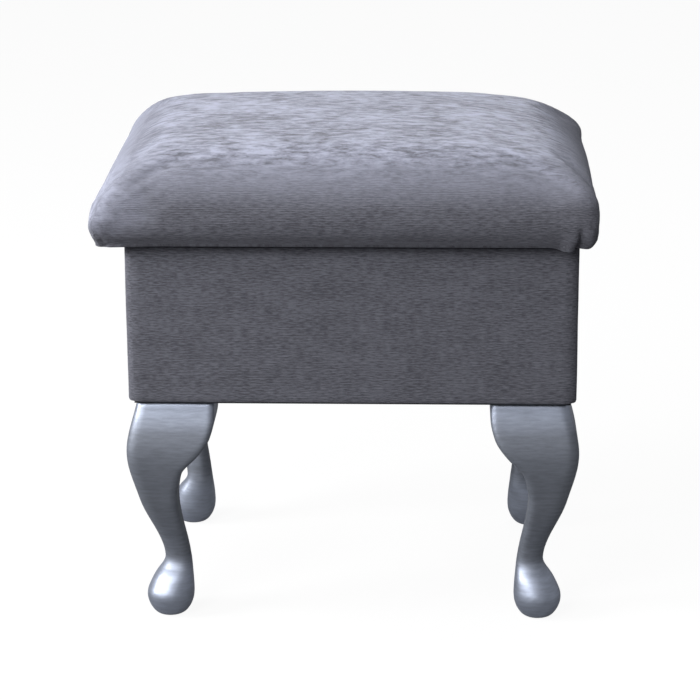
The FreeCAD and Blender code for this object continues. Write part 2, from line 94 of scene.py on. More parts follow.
class StoolCushionSettings(bpy.types.PropertyGroup):
    tuck_width: length_setting("Tuck width", "How far the lid draws in below its widest line", 19 * MM)
    tuck_height: length_setting(
        "Tuck height", "Height of the lid's widest line above its underside", 23 * MM)
    roll_width: length_setting("Roll width", "Width of the rolled edge, seen from above", 70 * MM)
    roll_rise: length_setting("Roll rise", "Rise of the rolled edge above the widest line", 55.5 * MM)
    crown: length_setting("Crown", "Extra rise of the seat's middle", 11.6 * MM)
    corner_radius: length_setting(
        "Corner radius", "Radius of the lid's corners at its widest line, seen from above", 9.5 * MM)
    corner_growth: bpy.props.FloatProperty(
        name="Corner growth", description="How much the corner radius grows for each metre of the roll",
        default=0.35, subtype="FACTOR")
    slack: length_setting("Slack", "How much smaller the pad starts before it is filled", 2.0 * MM)
    swell: length_setting("Swell", "The most that filling may move a point of the pad", 4.0 * MM)
    pressure: bpy.props.FloatProperty(
        name="Filling", description="Pressure of the filling on the cover",
        default=4.0)
    lean_left: length_setting(
        "Lean at the left", "How far the padding stands out to the left end", 5.0 * MM)
    lean_right: length_setting(
        "Lean at the right", "How far the padding draws back from the right end", 8.0 * MM)
    pleat_depth: length_setting("Pleat depth", "Depth of the folds at the lid's lower corners", 2.6 * MM)
    sag: length_setting(
        "Sag", "How far the rolled edge hangs below the lid's underside, outside the box", 1.4 * MM)
    soft_end: length_setting("Soft end", "How far the seat drops towards its right end", 5.5 * MM)


class StoolCoverSettings(bpy.types.PropertyGroup):
    thickness: length_setting("Fabric thickness", "Thickness of the chenille", 1.3 * MM)
    corner_radius: length_setting("Corner radius", "Radius of the box's upright corners", 7 * MM)
    bottom_radius: length_setting("Bottom radius", "Radius of the box's lower edge", 5 * MM)
    rim_radius: length_setting("Rim radius", "Radius of the box's upper edge", 3 * MM)
    hem_width: length_setting("Hem width", "Fabric turned under the box", 25 * MM)
    ripple: length_setting("Ripple", "Height of the slight pulls in the stretched fabric", 0.35 * MM)


class StoolColours(bpy.types.PropertyGroup):
    pile_dark: colour_setting("Pile, dark", "Chenille where the pile lies away", (0.063, 0.063, 0.075))
    pile_light: colour_setting("Pile, light", "Chenille along the crests of its ribs", (0.17, 0.173, 0.206))
    # Light colour of crushed pile, used also as painted sheen that lightens the seat towards its top and its
    # left end
    pile_crushed_and_sheen: colour_setting(
        "Pile, crushed", "Chenille where the seat's pile is brushed flat", (0.42, 0.437, 0.545))
    silver: colour_setting("Silver paint", "Paint of the legs", (0.41, 0.45, 0.55))
    lining: colour_setting("Lining", "Cloth inside the box and under the lid", (0.05, 0.05, 0.056))
    dust_cloth: colour_setting("Dust cloth", "Cloth under the box", (0.018, 0.018, 0.02))
    board: colour_setting("Board", "Boards of the box and the lid", (0.42, 0.29, 0.18))
    steel: colour_setting("Steel", "Hinges, screws, bolts and nuts", (0.62, 0.61, 0.59))
    floor: colour_setting("Floor", "Floor under the stool", (0.18, 0.18, 0.18))


# Mesh helpers

def clear_selection():
    if bpy.context.object and bpy.context.object.mode != "OBJECT":
        bpy.ops.object.mode_set(mode="OBJECT")
    bpy.ops.object.select_all(action="DESELECT")


def make_active(piece):
    clear_selection()
    piece.select_set(True)
    bpy.context.view_layer.objects.active = piece


def points(piece):
    """Vertex places of a piece as rows."""
    flat = np.zeros(len(piece.data.vertices) * 3)
    piece.data.vertices.foreach_get("co", flat)
    return flat.reshape(-1, 3)


def place_points(piece, rows):
    piece.data.vertices.foreach_set("co", np.asarray(rows, float).ravel())
    piece.data.update()


def apply_modifier(piece, kind, **settings):
    make_active(piece)
    modifier = piece.modifiers.new(kind.title(), kind)
    for name, value in settings.items():
        setattr(modifier, name, value)
    bpy.ops.object.modifier_apply(modifier=modifier.name)


def edit_all(piece, operator, **settings):
    """Runs a mesh operator on the whole of a piece."""
    make_active(piece)
    bpy.ops.object.mode_set(mode="EDIT")
    bpy.ops.mesh.select_all(action="SELECT")
    operator(**settings)
    bpy.ops.object.mode_set(mode="OBJECT")


def smooth_bands(piece, value, bands, rounds, where=True):
    """Smooths a piece where a value lies in one of the bands, each with its own share of smoothing."""
    group = piece.vertex_groups.new(name="bands")
    for low, high, share in bands:
        here = where & (value >= low) & (value < high)
        group.add(np.nonzero(here)[0].tolist(), share, "REPLACE")
    apply_modifier(piece, "SMOOTH", factor=0.5, iterations=rounds, vertex_group=group.name)
    piece.vertex_groups.clear()


def divided_block(name, cuts):
    """Cube from -1 to 1, each face divided evenly, to be shaped."""
    clear_selection()
    bpy.ops.mesh.primitive_cube_add(size=2)
    piece = bpy.context.active_object
    piece.name = name
    piece.data.name = name
    edit_all(piece, bpy.ops.mesh.subdivide, number_cuts=cuts)
    return piece


def solid_box(low, high):
    """Block that fills a box."""
    clear_selection()
    bpy.ops.mesh.primitive_cube_add(size=1, location=(low + high) / 2)
    block = bpy.context.active_object
    block.scale = high - low
    bpy.ops.object.transform_apply(location=True, rotation=True, scale=True)
    return block


def drop_faces(piece, unwanted):
    """Deletes the faces whose middle the test names."""
    make_active(piece)
    bpy.ops.object.mode_set(mode="EDIT")
    bpy.ops.mesh.select_all(action="DESELECT")
    bpy.ops.object.mode_set(mode="OBJECT")
    for face in piece.data.polygons:
        face.select = bool(unwanted(face.center))
    bpy.ops.object.mode_set(mode="EDIT")
    bpy.ops.mesh.select_mode(type="FACE")
    bpy.ops.mesh.delete(type="FACE")
    bpy.ops.object.mode_set(mode="OBJECT")


def shade_smooth(piece, angle=None):
    make_active(piece)
    if angle is None:
        bpy.ops.object.shade_smooth()
    else:
        bpy.ops.object.shade_smooth_by_angle(angle=angle)


def store_weave(piece, rows):
    """Fabric coordinates of each vertex: along the ribs, across them, and how far up the seat."""
    weave = piece.data.attributes.get("weave")
    if weave is None:
        weave = piece.data.attributes.new("weave", "FLOAT_VECTOR", "POINT")
    weave.data.foreach_set("vector", np.asarray(rows, np.float32).ravel())


def read_weave(piece):
    flat = np.zeros(len(piece.data.vertices) * 3, np.float32)
    piece.data.attributes["weave"].data.foreach_get("vector", flat)
    return flat.reshape(-1, 3)


def finish_piece(piece, material, body, slot, *nodes):
    piece.data.materials.clear()
    piece.data.materials.append(material)
    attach(piece, body)
    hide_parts(*nodes)


def smooth_step(value, low, high):
    share = np.clip((value - low) / (high - low), 0, 1)
    return share * share * (3 - 2 * share)


def fade_in(values, bands):
    """Product of smooth steps, each value rising through its own band."""
    return np.prod([smooth_step(value, *band) for value, band in zip(values, bands)], axis=0)


def half_size(low, high):
    """Half the width and half the depth of a box."""
    return np.array([(high.x - low.x) / 2, (high.y - low.y) / 2])


def rounded_layers(a, b, half, radius):
    """Square layers of a block moved to rectangles with round corners."""
    share = np.maximum(np.abs(a), np.abs(b))
    safe = np.maximum(share, 1e-6)
    half = half * share[:, None]
    radius = (radius * share)[:, None]
    flat = np.column_stack([a / safe * half[:, 0], b / safe * half[:, 1]])
    inner = np.maximum(half - radius, 0)
    core = np.clip(flat, -inner, inner)
    out = flat - core
    reach = np.linalg.norm(out, axis=1, keepdims=True)
    return core + out * np.where(reach > 1e-9, radius / np.maximum(reach, 1e-9), 0)


def pocket_cuts(piece):
    """Cuts the places of the hinge leaves and knuckles out of a cover, and keeps its fabric coordinates."""
    weave = read_weave(piece)
    tree = KDTree(len(weave))
    for index, row in enumerate(points(piece)):
        tree.insert(row, index)
    tree.balance()
    room = Vector((HINGE_ROOM, HINGE_ROOM, HINGE_ROOM))
    for side in ("left", "right"):
        low_box, high_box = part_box(f"hinge_{side}_box_leaf")
        low_lid, high_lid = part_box(f"hinge_{side}_lid_leaf")
        low = Vector(map(min, low_box, low_lid))
        high = Vector(map(max, high_box, high_lid))
        cutter = solid_box(low - room, high + room)
        apply_modifier(piece, "BOOLEAN", operation="DIFFERENCE", object=cutter, solver="EXACT")
        bpy.data.objects.remove(cutter, do_unlink=True)
    store_weave(piece, weave[[tree.find(row)[1] for row in points(piece)]])


def flat_sheet(name, low, high, cuts):
    """Thin sheet filling a box, divided for shaping, with its thickness."""
    clear_selection()
    middle = (low + high) / 2
    bpy.ops.mesh.primitive_grid_add(x_subdivisions=cuts, y_subdivisions=cuts, size=1,
                                    location=(middle.x, middle.y, high.z))
    sheet = bpy.context.active_object
    sheet.name = name
    sheet.scale = (high.x - low.x, high.y - low.y, 1)
    bpy.ops.object.transform_apply(location=True, rotation=True, scale=True)
    apply_modifier(sheet, "SOLIDIFY", thickness=(high.z - low.z) * SHEET_SHARE, offset=-1)
    shade_smooth(sheet, EDGE_ANGLE)
    return sheet


# Material helpers

def feed(tree, sockets, values):
    """Links each named socket to another node's output, or sets its value."""
    for name, value in values.items():
        if isinstance(value, bpy.types.NodeSocket):
            tree.links.new(value, sockets[name])
        else:
            sockets[name].default_value = value


def add_node(tree, kind, values=None, **settings):
    node = tree.nodes.new(kind)
    for name, value in settings.items():
        setattr(node, name, value)
    feed(tree, node.inputs, values or {})
    return node


def math_node(tree, operation, first, second):
    return add_node(tree, "ShaderNodeMath", {0: first, 1: second}, operation=operation).outputs[0]


def weighted_sum(tree, *parts):
    """Sum of values, each times its weight."""
    total = 0.0
    for value, weight in parts:
        node = add_node(tree, "ShaderNodeMath", {0: value, 1: weight, 2: total}, operation="MULTIPLY_ADD")
        total = node.outputs[0]
    return total


def mix_colour(tree, share, first, second, blend="MIX"):
    node = add_node(tree, "ShaderNodeMix", data_type="RGBA", blend_type=blend, clamp_factor=True)
    inputs = {socket.identifier: socket for socket in node.inputs}
    feed(tree, inputs, {"Factor_Float": share, "A_Color": first, "B_Color": second})
    return next(s for s in node.outputs if s.identifier == "Result_Color")


def map_range(tree, value, low, high, to_low=0.0, to_high=1.0):
    node = add_node(tree, "ShaderNodeMapRange", {
        "Value": value, "From Min": low, "From Max": high, "To Min": to_low, "To Max": to_high})
    return node.outputs["Result"]


def noise(tree, vector, scale, detail=3.0, roughness=0.5, distortion=0.0):
    node = add_node(tree, "ShaderNodeTexNoise", {
        "Vector": vector, "Scale": scale, "Detail": detail,
        "Roughness": roughness, "Distortion": distortion})
    return node.outputs[0]


def stretched(tree, vector, scale):
    return add_node(tree, "ShaderNodeMapping", {"Vector": vector, "Scale": scale}).outputs[0]


def new_group(name, inputs, outputs):
    """Shader node group with float or vector sockets."""
    group = bpy.data.node_groups.new(name, "ShaderNodeTree")
    for socket, kind, default in inputs:
        made = group.interface.new_socket(socket, in_out="INPUT", socket_type=kind)
        if default is not None:
            made.default_value = default
    for socket in outputs:
        group.interface.new_socket(socket, in_out="OUTPUT", socket_type="NodeSocketFloat")
    return group, add_node(group, "NodeGroupInput").outputs, add_node(group, "NodeGroupOutput").inputs


def rib_group():
    """Chenille ribs: broken bright streaks along the ribs, and the height of ribs and pile."""
    found = bpy.data.node_groups.get("chenille_ribs")
    if found:
        return found
    group, given, made = new_group(
        "chenille_ribs",
        [("Weave", "NodeSocketVector", None), ("Rib Scale", "NodeSocketFloat", RIB_SCALE)],
        ["Streak", "Rib", "Height"])
    flat = add_node(group, "ShaderNodeVectorMath", {0: given["Weave"], 1: (1, 1, 0)}, operation="MULTIPLY")
    flat = flat.outputs[0]
    streak = noise(group, stretched(group, flat, STREAK_SCALE), 1.0, 3.0, 0.66)
    fine = noise(group, stretched(group, flat, FINE_SCALE), 1.0, 2.0, 0.6)
    wander = noise(group, stretched(group, flat, WANDER_SCALE), 1.0, 2.0)
    bands = add_node(group, "ShaderNodeTexWave", {
        "Vector": flat, "Scale": given["Rib Scale"], "Distortion": 1.6, "Detail": 2.0, "Detail Scale": 0.4},
        bands_direction="Y")
    rib = bands.outputs["Fac"]
    uneven = weighted_sum(group, (streak, 1.0), (wander, 0.2))
    feed(group, made, {
        "Streak": map_range(group, uneven, 0.47, 0.72),
        "Rib": rib,
        "Height": weighted_sum(group, (rib, 0.45), (streak, 0.6), (fine, 0.5))})
    return group


def weave_group():
    """Plain woven cloth: crossed threads and slubs."""
    found = bpy.data.node_groups.get("plain_weave")
    if found:
        return found
    group, given, made = new_group(
        "plain_weave",
        [("Vector", "NodeSocketVector", None), ("Thread Scale", "NodeSocketFloat", 300.0)],
        ["Shade", "Height"])
    threads = []
    for direction in ("X", "Y", "Z"):
        wave = add_node(group, "ShaderNodeTexWave", {
            "Vector": given["Vector"], "Scale": given["Thread Scale"], "Distortion": 0.6, "Detail": 1.0},
            bands_direction=direction)
        threads.append(wave.outputs["Fac"])
    crossed = math_node(group, "MULTIPLY", threads[0], threads[1])
    crossed = weighted_sum(group, (crossed, 1.0), (threads[2], 0.5))
    slub = noise(group, given["Vector"], 60.0, 5.0, 0.65)
    feed(group, made, {
        "Shade": weighted_sum(group, (crossed, 0.25), (slub, 0.8)),
        "Height": weighted_sum(group, (crossed, 1.0), (slub, 0.4))})
    return group


def grain_group():
    """Fine marks of a brush or a tool, long in one direction, and broad cloudy wear."""
    found = bpy.data.node_groups.get("tool_marks")
    if found:
        return found
    group, given, made = new_group(
        "tool_marks",
        [("Vector", "NodeSocketVector", None), ("Stretch", "NodeSocketVector", None)],
        ["Marks", "Clouds"])
    drawn = add_node(group, "ShaderNodeVectorMath", {0: given["Vector"], 1: given["Stretch"]},
                     operation="MULTIPLY").outputs[0]
    feed(group, made, {
        "Marks": noise(group, drawn, 1.0, 4.0, 0.6),
        "Clouds": noise(group, given["Vector"], 28.0, 4.0, 0.55, 0.4)})
    return group


def new_material(name):
    material = bpy.data.materials.new(name)
    material.use_nodes = True
    tree = material.node_tree
    return material, tree, tree.nodes["Principled BSDF"]


def use_group(tree, group, values):
    return add_node(tree, "ShaderNodeGroup", values, node_tree=group).outputs


def bump(tree, shader, height, strength, distance):
    node = add_node(tree, "ShaderNodeBump", {"Height": height, "Strength": strength, "Distance": distance})
    feed(tree, shader.inputs, {"Normal": node.outputs[0]})


def rgba(colour, factor=1.0):
    """Colour made darker or lighter by a factor, with its alpha."""
    return (*(min(1.0, factor * part) for part in colour), 1.0)


def crushed_and_sheen_share(tree, weave):
    """Share of the light crushed-pile colour: patches of pile brushed flat on top, an even painted sheen down
    the sides that grows with height, and painted light most at the left end.
    """
    along, across, rise = add_node(tree, "ShaderNodeSeparateXYZ", {0: weave}).outputs
    flat = add_node(tree, "ShaderNodeCombineXYZ", {0: along, 1: across}).outputs[0]
    broad = noise(tree, stretched(tree, flat, BROAD_PATCH_SCALE), 1.0, 5.0, 0.68, 0.7)
    flecks = noise(tree, stretched(tree, flat, FLECK_SCALE), 1.0, 4.0, 0.7, 0.2)
    patch = map_range(tree, weighted_sum(tree, (broad, 0.55), (flecks, 0.85)), 0.56, 0.82)
    # Painted sheen: the light colour grows with height up the seat
    high = map_range(tree, rise, 0.45, 1.0)
    top = math_node(tree, "POWER", high, 2.2)
    side = math_node(tree, "SUBTRACT", 1.0, top)
    uneven = weighted_sum(tree, (patch, top), (side, 0.5))
    brushed_and_sheen = math_node(tree, "MULTIPLY", uneven, high)
    # Painted light: the seat's left end, which faces the side lamp, is made lighter
    left_end = map_range(tree, along, -0.16, -0.23, 0.0, 0.9)
    left_end = math_node(tree, "MULTIPLY", left_end, map_range(tree, rise, 0.1, 0.35))
    end_share = weighted_sum(tree, (patch, 0.5), (0.48, 1.0))
    return math_node(tree, "MAXIMUM", brushed_and_sheen, math_node(tree, "MULTIPLY", left_end, end_share))


def chenille(name, crushed_and_sheen):
    """Ribbed chenille; the seat also gets patches of pile brushed flat, and painted sheen that lightens it
    towards its top and its left end.
    """
    colours = bpy.context.scene.stool_colours
    material, tree, shader = new_material(name)
    weave = add_node(tree, "ShaderNodeAttribute", attribute_name="weave").outputs["Vector"]
    ribs = use_group(tree, rib_group(), {"Weave": weave, "Rib Scale": RIB_SCALE})
    shade = weighted_sum(tree, (ribs["Streak"], 0.75), (ribs["Rib"], 0.25))
    colour = mix_colour(tree, shade, rgba(colours.pile_dark), rgba(colours.pile_light))
    if crushed_and_sheen:
        colour = mix_colour(tree, crushed_and_sheen_share(tree, weave), colour, rgba(colours.pile_crushed_and_sheen))
    feed(tree, shader.inputs, {
        "Base Color": colour, "Roughness": 0.92, "Specular IOR Level": 0.15,
        "Sheen Weight": 0.3, "Sheen Roughness": 0.42, "Sheen Tint": (0.84, 0.86, 0.97, 1)})
    bump(tree, shader, ribs["Height"], 0.55, 0.7 * MM)
    return material


def plain_cloth(name, colour, threads, roughness):
    """Woven or felted cloth for the linings and the dust cover."""
    material, tree, shader = new_material(name)
    place = add_node(tree, "ShaderNodeTexCoord").outputs["Object"]
    weave = use_group(tree, weave_group(), {"Vector": place, "Thread Scale": threads})
    feed(tree, shader.inputs, {
        "Base Color": mix_colour(tree, weave["Shade"], rgba(colour, 0.6), rgba(colour, 1.5)),
        "Roughness": roughness, "Specular IOR Level": 0.2, "Sheen Weight": 0.15})
    bump(tree, shader, weave["Height"], 0.4, 0.3 * MM)
    return material


def silver_paint():
    """Satin silver paint over turned and carved wood, with painted shade darkening its shaft."""
    silver = bpy.context.scene.stool_colours.silver
    material, tree, shader = new_material("satin_silver")
    place = add_node(tree, "ShaderNodeTexCoord").outputs["Object"]
    marks = use_group(tree, grain_group(), {"Vector": place, "Stretch": (70, 70, 420)})
    flake = noise(tree, place, 1400.0, 2.0, 0.6)
    brushing = map_range(tree, marks["Marks"], 0.34, 0.66)
    shade = weighted_sum(tree, (brushing, 0.5), (marks["Clouds"], 0.3), (flake, 0.25))
    colour = mix_colour(tree, shade, rgba(silver, 0.78), rgba(silver, 1.18))
    # Painted shade: by height, the shaft between foot and knee top gets darker paint, standing in for the
    # shade it lies in, and is also made duller
    height = add_node(tree, "ShaderNodeSeparateXYZ", {0: place}).outputs[2]
    from_foot = map_range(tree, height, *SHADED_DULL_FROM_FOOT)
    from_top = map_range(tree, height, *SHADED_DULL_FROM_TOP)
    shaded_dull_share = math_node(tree, "MULTIPLY", from_foot, from_top)
    painted_shade_colour = mix_colour(tree, 1.0, colour, PAINTED_SHADE_TINT, "MULTIPLY")
    rough = map_range(tree, marks["Clouds"], 0.3, 0.7, 0.43, 0.5)
    feed(tree, shader.inputs, {
        "Base Color": mix_colour(tree, shaded_dull_share, colour, painted_shade_colour), "Metallic": 0.9,
        "Roughness": weighted_sum(tree, (rough, 1.0), (shaded_dull_share, SHADED_DULLNESS))})
    bump(tree, shader, marks["Marks"], 0.5, 0.2 * MM)
    return material


def bare_board():
    """Fibreboard of the box and the lid."""
    board = bpy.context.scene.stool_colours.board
    material, tree, shader = new_material("bare_board")
    place = add_node(tree, "ShaderNodeTexCoord").outputs["Object"]
    fibres = noise(tree, place, 900.0, 4.0, 0.7)
    clouds = noise(tree, place, 40.0, 3.0)
    shade = weighted_sum(tree, (fibres, 0.6), (clouds, 0.4))
    colour = mix_colour(tree, shade, rgba(board, 0.7), rgba(board, 1.25))
    feed(tree, shader.inputs, {"Base Color": colour, "Roughness": 0.8})
    bump(tree, shader, fibres, 0.2, 0.2 * MM)
    return material


def steel(name, stretch, roughness, tint):
    """Zinc-plated or drawn steel."""
    metal = [part * share for part, share in zip(bpy.context.scene.stool_colours.steel, tint)]
    material, tree, shader = new_material(name)
    place = add_node(tree, "ShaderNodeTexCoord").outputs["Object"]
    marks = use_group(tree, grain_group(), {"Vector": place, "Stretch": stretch})
    feed(tree, shader.inputs, {
        "Base Color": mix_colour(tree, marks["Clouds"], rgba(metal, 0.7), rgba(metal, 1.2)), "Metallic": 1.0,
        "Roughness": map_range(tree, marks["Marks"], 0.3, 0.7, roughness - 0.08, roughness + 0.1)})
    bump(tree, shader, marks["Marks"], 0.15, 0.1 * MM)
    return material


def seen_share(tree, mirrored):
    """1 for what the camera sees, a lesser share for what a shiny surface mirrors, else 0."""
    path = add_node(tree, "ShaderNodeLightPath").outputs
    seen = math_node(tree, "MAXIMUM", path["Is Camera Ray"], path["Is Transmission Ray"])
    return math_node(tree, "MAXIMUM", seen, math_node(tree, "MULTIPLY", path["Is Glossy Ray"], mirrored))


# Pieces

class STOOL_OT_stage(bpy.types.Operator):
    """Sets the camera, the floor and the soft studio light"""
    bl_idname = "stool.stage"
    bl_label = "Stage"

    # Pitch, yaw and roll in degrees, place and lens of the camera
    CAMERA_TURN = (16.93, -1.95, -0.26)
    CAMERA_PLACE = (0.0781, -2.4915, 0.9808)
    CAMERA_LENS = 138.6
    # Name, place, target, width and power of each lamp
    LAMPS = (
        ("window_lamp", (-1.3, -2.2, 1.8), (0, 0, 0.2), 1.6, 48),
        ("side_lamp", (-2.4, -0.7, 1.4), (0, 0, 0.3), 1.2, 70),
        ("top_lamp", (0.1, 0.6, 2.4), (0, 0, 0.4), 1.8, 14),
    )
    FLOOR_SIZE = 14
    FLOOR_SEEN = (0.85, 0.85, 0.85, 1)
    FLOOR_GLOW = 1.03
    FLOOR_GLOW_SHARE = 0.9
    FLOOR_MIRRORED = 0.1
    WORLD_MIRRORED = 0.35
    WORLD_COLOUR = (0.97, 0.98, 1, 1)
    # Upward parts of a direction, and the strength of the sky between them
    SKY_RISE = (-0.1, 0.9)
    SKY_STRENGTH = (0.1, 0.35)

    def execute(self, context):
        scene = context.scene
        scene.view_settings.view_transform = "Standard"
        self.add_camera(scene)
        self.add_floor(scene)
        self.add_world(scene)
        for lamp in self.LAMPS:
            self.add_lamp(scene, *lamp)
        return {"FINISHED"}

    def add_camera(self, scene):
        pitch, yaw, roll = (math.radians(angle) for angle in self.CAMERA_TURN)
        level = math.cos(pitch)
        ahead = Vector((math.sin(yaw) * level, math.cos(yaw) * level, -math.sin(pitch)))
        right = Vector((math.cos(yaw), -math.sin(yaw), 0))
        up = right.cross(ahead)
        turned = right * math.cos(roll) + up * math.sin(roll)
        upright = up * math.cos(roll) - right * math.sin(roll)
        data = bpy.data.cameras.new("camera")
        data.sensor_width = 36
        data.lens = self.CAMERA_LENS
        camera = bpy.data.objects.new("camera", data)
        scene.collection.objects.link(camera)
        turn = Matrix((turned, upright, -ahead)).transposed().to_4x4()
        camera.matrix_world = Matrix.Translation(self.CAMERA_PLACE) @ turn
        scene.camera = camera

    def add_floor(self, scene):
        """Pale floor that keeps the stool's shadow and looks white to the camera."""
        clear_selection()
        bpy.ops.mesh.primitive_plane_add(size=self.FLOOR_SIZE)
        floor = bpy.context.active_object
        floor.name = "floor"
        material, tree, shader = new_material("pale_floor")
        pale = scene.stool_colours.floor
        place = add_node(tree, "ShaderNodeTexCoord").outputs["Object"]
        mottle = noise(tree, place, 3.0, 3.0)
        colour = mix_colour(tree, mottle, rgba(pale, 0.98), rgba(pale))
        path = add_node(tree, "ShaderNodeLightPath")
        colour = mix_colour(tree, path.outputs["Is Camera Ray"], colour, self.FLOOR_SEEN)
        feed(tree, shader.inputs, {"Base Color": colour, "Roughness": 0.9, "Specular IOR Level": 0.0})
        glow = add_node(tree, "ShaderNodeEmission", {"Color": (1, 1, 1, 1), "Strength": self.FLOOR_GLOW})
        share = math_node(tree, "MULTIPLY", seen_share(tree, self.FLOOR_MIRRORED), self.FLOOR_GLOW_SHARE)
        both = add_node(tree, "ShaderNodeMixShader", {0: share, 1: shader.outputs[0], 2: glow.outputs[0]})
        tree.links.new(both.outputs[0], tree.nodes["Material Output"].inputs["Surface"])
        floor.data.materials.append(material)

    def add_world(self, scene):
        """Background that looks white to the camera and lights the stool softly from above."""
        world = bpy.data.worlds.new("studio")
        world.use_nodes = True
        tree = world.node_tree
        direction = add_node(tree, "ShaderNodeTexCoord").outputs["Generated"]
        upward = add_node(tree, "ShaderNodeSeparateXYZ", {0: direction}).outputs[2]
        sky = map_range(tree, upward, *self.SKY_RISE, *self.SKY_STRENGTH)
        strength = math_node(tree, "MAXIMUM", seen_share(tree, self.WORLD_MIRRORED), sky)
        feed(tree, tree.nodes["Background"].inputs, {"Color": self.WORLD_COLOUR, "Strength": strength})
        scene.world = world

    def add_lamp(self, scene, name, place, target, width, power):
        data = bpy.data.lights.new(name, "AREA")
        data.shape = "DISK"
        data.size = width
        data.energy = power
        lamp = bpy.data.objects.new(name, data)
        scene.collection.objects.link(lamp)
        aim = Vector(target) - Vector(place)
        turn = aim.to_track_quat("-Z", "Y").to_matrix().to_4x4()
        lamp.matrix_world = Matrix.Translation(place) @ turn


class STOOL_OT_cushion(bpy.types.Operator):
    """Makes the lid's padded cushion: a filled form with a rolled edge, drawn in underneath"""
    bl_idname = "stool.cushion"
    bl_label = "Lid cushion"

    BLOCK_CUTS = 47
    VOXEL = 5 * MM
    ROWS_IN_TUCK = 0.3
    PROFILE_STEPS = 60
    # Share of the roll's width where its side is steep
    SIDE_SHARE = 0.4
    FILL_FRAMES = 20
    # Distances from a corner's middle line, and the share of smoothing between them
    RIDGE_BANDS = ((0, 8 * MM, 1.0), (8 * MM, 14 * MM, 0.6), (14 * MM, 20 * MM, 0.3))
    RIDGE_ROUNDS = 16
    # Places between which a form of the padding fades in
    BOX_EDGE = (14 * MM, 21 * MM)
    LOW_PART = (6 * MM, 30 * MM)
    FULL_END = (0.17, 0.205)
    FULL_FRONT = (0.125, 0.16)
    WAIST_ENDS = (0.15, 0.22)
    SAG_BACK = 0.1
    LEAN_TOP = 75 * MM
    # Middle height, spread and depth of the ends' waist
    WAIST_HEIGHT = 42 * MM
    WAIST_SPREAD = 16 * MM
    WAIST_BULGE = 2.2 * MM
    # Shares of that depth: at the right end growing towards the back, at the left end most in its middle
    WAIST_RIGHT = 1.5
    WAIST_RIGHT_BAND = (-0.12, 0.06)
    WAIST_LEFT = 0.8
    # How far the front left corner is filled out: shares of the tuck, and extra fullness
    FULL_SIDEWAYS = 0.85
    FULL_FORWARD = 0.4
    FULL_HANG = 4 * MM
    # How far the shoulders draw towards the left at the back
    LEFT_SHOULDER = 3 * MM
    RIGHT_SHOULDER = 8.5 * MM
    # Bands of height, depth and width in which each shoulder moves
    LEFT_BANDS = ((0.05, 0.08), (0, 0.15), (0.12, 0.2))
    RIGHT_BANDS = ((0.02, 0.06), (-0.09, 0.15), (0.15, 0.21))
    # Bands of width and height in which the right end drops
    SOFT_BANDS = ((0.1, 0.21), (0.035, 0.078))
    # Points lower and further in than this lie on the lid's board
    UNDERSIDE_HEIGHT = 5 * MM
    UNDERSIDE_INSET = 18 * MM
    # Corner folds: end, side, place along the edge, width, depth share and drop, the lengths in millimetres
    PLEATS = (
        (-1, -1, 8, 2.6, 0.6, 0),
        (1, -1, 15, 2.8, 1.3, -1), (1, -1, 23, 7, -0.5, 3.8), (1, -1, 5, 6, -0.4, 1.0),
        (-1, 1, 9, 2.8, 0.8, 0), (-1, 1, -12, 3, 0.6, 0),
        (1, 1, 9, 2.8, 0.8, 0), (1, 1, -12, 3, 0.6, 0),
    )

    def execute(self, context):
        size = context.scene.stool_cushion
        low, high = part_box("lid_cover")
        self.low = low.z
        self.half = half_size(low, high)
        cushion = divided_block("lid_cushion", self.BLOCK_CUTS)
        place_points(cushion, self.form(points(cushion), size))
        edit_all(cushion, bpy.ops.transform.shrink_fatten, value=-size.slack)
        apply_modifier(cushion, "REMESH", mode="VOXEL", voxel_size=self.VOXEL)
        store_weave(cushion, self.weave(points(cushion), size))
        self.fill(cushion, size)
        apply_modifier(cushion, "SUBSURF", levels=1, render_levels=1)
        self.soften_ridges(cushion, size)
        self.finish_form(cushion, size)
        pocket_cuts(cushion)
        shade_smooth(cushion, CUSHION_EDGE_ANGLE)
        finish_piece(cushion, chenille("seat_chenille", True), LID, "chenille",
                     "lid_cover", "lid_wadding", "lid_foam")
        return {"FINISHED"}

    def form(self, block, size):
        a, b, c = block.T
        rise_share = (c + 1) / 2
        tuck_turn = np.clip(rise_share / self.ROWS_IN_TUCK, 0, 1) * math.pi / 2
        roll_share = (rise_share - self.ROWS_IN_TUCK) / (1 - self.ROWS_IN_TUCK)
        roll_turn = np.clip(roll_share, 0, 1) * math.pi / 2
        in_tuck = rise_share < self.ROWS_IN_TUCK
        tuck_edge = size.tuck_width * (1 - np.sin(tuck_turn))
        roll_edge = size.roll_width * (1 - np.cos(roll_turn))
        edge = np.where(in_tuck, tuck_edge, roll_edge)
        tuck_rise = size.tuck_height * (1 - np.cos(tuck_turn))
        roll_rise = size.tuck_height + size.roll_rise * np.sin(roll_turn)
        rise = np.where(in_tuck, tuck_rise, roll_rise)
        radius = size.corner_radius + np.where(in_tuck, 0, size.corner_growth * edge)
        flat = rounded_layers(a, b, self.half - edge[:, None], radius)
        crown = size.crown * np.prod(1 - (flat / self.half) ** 2, axis=1)
        return np.column_stack([flat, self.low + rise + np.where(in_tuck, 0, crown)])

    def run(self, size):
        """Profile from the foot of the tuck to the top of the roll: inset, height and length from the top."""
        turn = np.linspace(0, math.pi / 2, self.PROFILE_STEPS)
        tuck_inset = size.tuck_width * (1 - np.sin(turn))
        roll_inset = size.roll_width * (1 - np.cos(turn[1:]))
        inset = np.concatenate([tuck_inset, roll_inset])
        tuck_rise = size.tuck_height * (1 - np.cos(turn))
        roll_rise = size.tuck_height + size.roll_rise * np.sin(turn[1:])
        rise = np.concatenate([tuck_rise, roll_rise])
        step = np.hypot(np.diff(inset), np.diff(rise))
        length = np.concatenate([[0], np.cumsum(step)])
        return inset, rise, length[-1] - length

